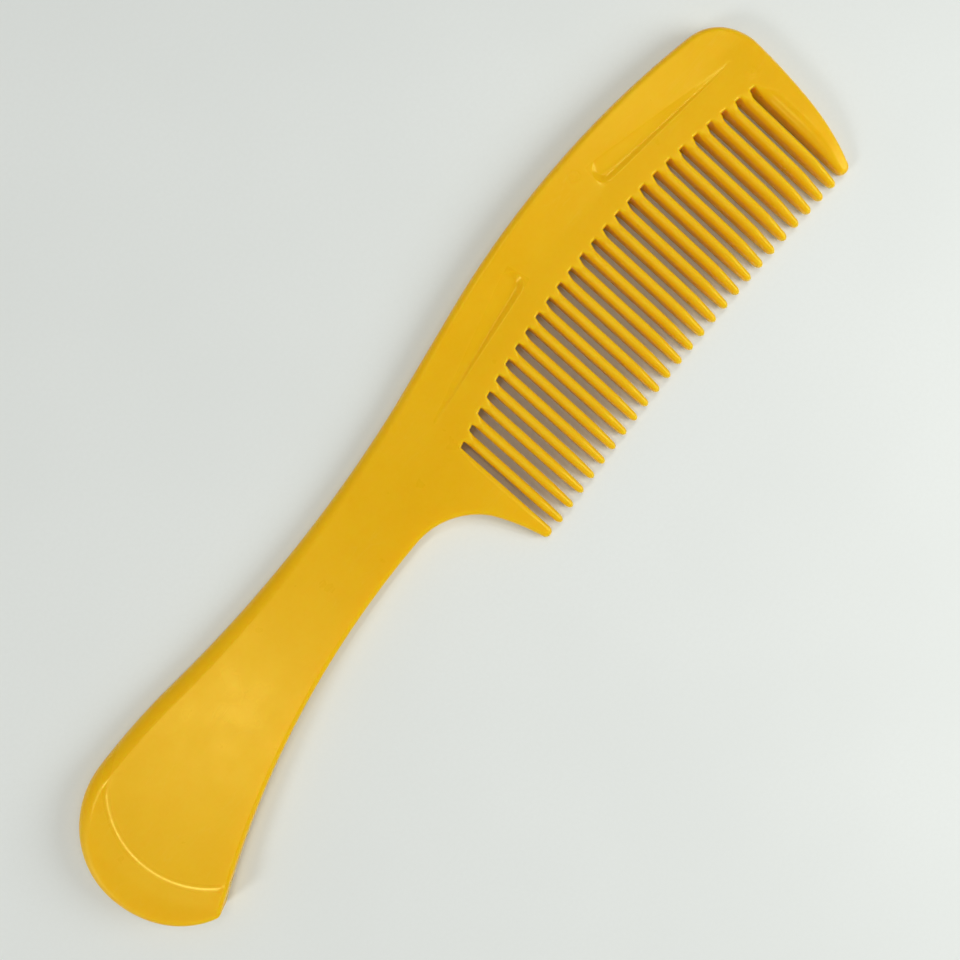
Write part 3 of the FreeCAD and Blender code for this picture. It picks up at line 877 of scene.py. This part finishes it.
def plastic_colour(shader, grain, marks):
    cloud = shader.span(shader.noise(*CLOUD), *CLOUD_STEP)
    colour = shader.mix(cloud, DEEP_YELLOW, PALE_YELLOW)
    speckle = shader.span(grain, *SPECKLE_STEP, 0.0, SPECKLE_SHARE)
    colour = shader.mix(speckle, colour, SPECKLE_YELLOW)
    return shader.mix(shader.math("MULTIPLY", marks, SCRATCH_SHARE), colour, SCRATCH_YELLOW)


def plastic_roughness(shader, worn, marks):
    """Smoother on the worn patch, at the crease and in the teardrops, rougher on
    scratches and on the rim of the handle end."""
    rough = shader.span(shader.noise(*SMUDGES), *SMUDGE_STEP, *ROUGHNESS)
    rough = shader.math("SUBTRACT", rough, shader.math("MULTIPLY", worn, WORN_SHINE))
    rough = shader.math("ADD", rough, shader.math("MULTIPLY", marks, SCRATCH_ROUGHNESS))
    from_centre = shader.away(LIP_CENTRE)
    from_crease = shader.math("ABSOLUTE", shader.math("SUBTRACT", from_centre, LIP_RADIUS))
    at_end = shader.span(shader.axis(0), *HANDLE_END_STEP)
    rim = shader.math("MULTIPLY", shader.span(from_centre, *RIM_STEP), at_end)
    rough = shader.math("ADD", rough, shader.math("MULTIPLY", rim, RIM_ROUGHNESS))
    glossy = shader.math("MULTIPLY", shader.span(from_crease, *CREASE_STEP), at_end)
    for head, tail in DROPS:
        glossy = shader.math("MAXIMUM", glossy, shader.drop_mask(head, tail))
    return shader.math("SUBTRACT", rough, shader.math("MULTIPLY", glossy, CREASE_SHINE))


def plastic_normal(shader, grain, marks):
    """Fine unevenness, with the scratches cut into it."""
    waves = shader.math("MULTIPLY", shader.noise(*WAVES), WAVE_SHARE)
    height = shader.math("ADD", waves, shader.math("MULTIPLY", grain, GRAIN_SHARE))
    height = shader.math("SUBTRACT", height, shader.math("MULTIPLY", marks, SCRATCH_DEPTH))
    bump = shader.nodes.new("ShaderNodeBump")
    bump.inputs["Strength"].default_value = BUMP_STRENGTH
    bump.inputs["Distance"].default_value = BUMP_HEIGHT * MM
    shader.put(bump.inputs["Height"], height)
    return bump.outputs["Normal"]


def plastic():
    shader = Shader("yellow_plastic")
    surface = shader.surface.inputs
    grain = shader.noise(*GRAIN)
    worn = shader.span(shader.away(SCUFF_MARK), *WORN_STEP)
    marks = scratch_marks(shader, worn)
    shader.put(surface["Base Color"], plastic_colour(shader, grain, marks))
    shader.put(surface["Roughness"], plastic_roughness(shader, worn, marks))
    shader.put(surface["Normal"], plastic_normal(shader, grain, marks))
    surface["Specular Tint"].default_value = SPECULAR_TINT
    surface["Subsurface Weight"].default_value = SUBSURFACE_SHARE
    surface["Subsurface Radius"].default_value = SUBSURFACE_COLOUR
    surface["Subsurface Scale"].default_value = SUBSURFACE_DEPTH * MM
    return shader.material


def paper():
    shader = Shader("pale_table")
    surface = shader.surface.inputs
    cloud = shader.span(shader.noise(*TABLE_CLOUD), *TABLE_CLOUD_STEP)
    fibre = shader.span(shader.noise(*FIBRE), *FIBRE_STEP, 0.0, FIBRE_SHARE)
    colour = shader.mix(fibre, shader.mix(cloud, *TABLE_COLOURS), FIBRE_COLOUR)
    shader.put(surface["Base Color"], colour)
    surface["Roughness"].default_value = TABLE_ROUGHNESS
    surface["Specular IOR Level"].default_value = TABLE_SPECULAR
    return shader.material


# ------------------------------------------------------------- stage

TABLE_HALF_SIZE = 3.0  # metres
TABLE_DROP = 0.05  # keeps the table clear of the underside
UP_ANGLE = radians(48.5)  # of the top of the picture, from the row frame's +Y
IMAGE_UP = Vector((sin(UP_ANGLE), cos(UP_ANGLE), 0))
LOOK_AT = Vector((4.467, -5.987, 0)) * MM
CAMERA_DISTANCE = 196.5 * MM
CAMERA_TILT = radians(3.5)
SENSOR_WIDTH = 36.0
LENS = 36.04

# Lights: name, direction from the comb, distance and size in metres, share, colour
WORLD_STRENGTH = 0.31
WHITE = (1.0, 1.0, 1.0)
LIGHTS = [
    ("from_the_handle", (-0.84, 0.13, 0.53), 1.2, 0.3, 0.13, (1.0, 0.99, 0.96)),
    ("broad_right", (0.55, -0.65, 0.54), 0.5, 0.3, 0.26, (1.0, 1.0, 0.98)),
    ("high_small", (-0.446, -0.032, 1.155), 1.2, 0.15, 0.09, (1.0, 0.98, 0.94)),
    ("over_the_middle", (0.13, 0.34, 1.0), 1.2, 0.12, 0.05, WHITE),
    ("over_the_toe", (0.47, 0.34, 1.0), 1.2, 0.12, 0.05, WHITE),
    ("toe_low", (0.47, -0.16, 1.0), 1.2, 0.12, 0.04, WHITE),
]


def make_floor():
    mesh = bpy.data.meshes.new("table_top")
    size = TABLE_HALF_SIZE
    corners = [(-size, -size, 0), (size, -size, 0), (size, size, 0), (-size, size, 0)]
    mesh.from_pydata(corners, [], [(0, 1, 2, 3)])
    floor = bpy.data.objects.new("table_top", mesh)
    floor.location.z = -TABLE_DROP * MM
    bpy.context.scene.collection.objects.link(floor)
    mesh.materials.append(paper())


def make_camera():
    data = bpy.data.cameras.new("camera")
    data.sensor_width = SENSOR_WIDTH
    data.lens = LENS
    camera = bpy.data.objects.new("camera", data)
    back = Vector((0, sin(CAMERA_TILT), cos(CAMERA_TILT)))
    right = IMAGE_UP.cross(back).normalized()
    up = back.cross(right)
    turn = Matrix((right, up, back)).transposed().to_4x4()
    camera.matrix_world = Matrix.Translation(LOOK_AT + back * CAMERA_DISTANCE) @ turn
    bpy.context.scene.collection.objects.link(camera)
    bpy.context.scene.camera = camera


def area_light(name, direction, away, size, share, colour):
    """Round soft light that faces the middle of the comb. share: the brightness that
    it gives a white table there, where 1 is pure white."""
    place = Vector(direction).normalized() * away
    data = bpy.data.lights.new(name, "AREA")
    data.shape = "DISK"
    data.size = size
    data.energy = share * (pi * away) ** 2 / (place.z / away)
    data.color = colour
    light = bpy.data.objects.new(name, data)
    light.location = place
    light.rotation_euler = place.to_track_quat("Z", "Y").to_euler()
    bpy.context.scene.collection.objects.link(light)


def make_lights():
    scene = bpy.context.scene
    scene.view_settings.view_transform = "Standard"
    world = bpy.data.worlds.new("studio")
    scene.world = world
    world.use_nodes = True
    background = world.node_tree.nodes["Background"]
    background.inputs["Color"].default_value = (*WHITE, 1)
    background.inputs["Strength"].default_value = WORLD_STRENGTH
    for light in LIGHTS:
        area_light(*light)


make_camera()
make_comb()
make_floor()
make_lights()
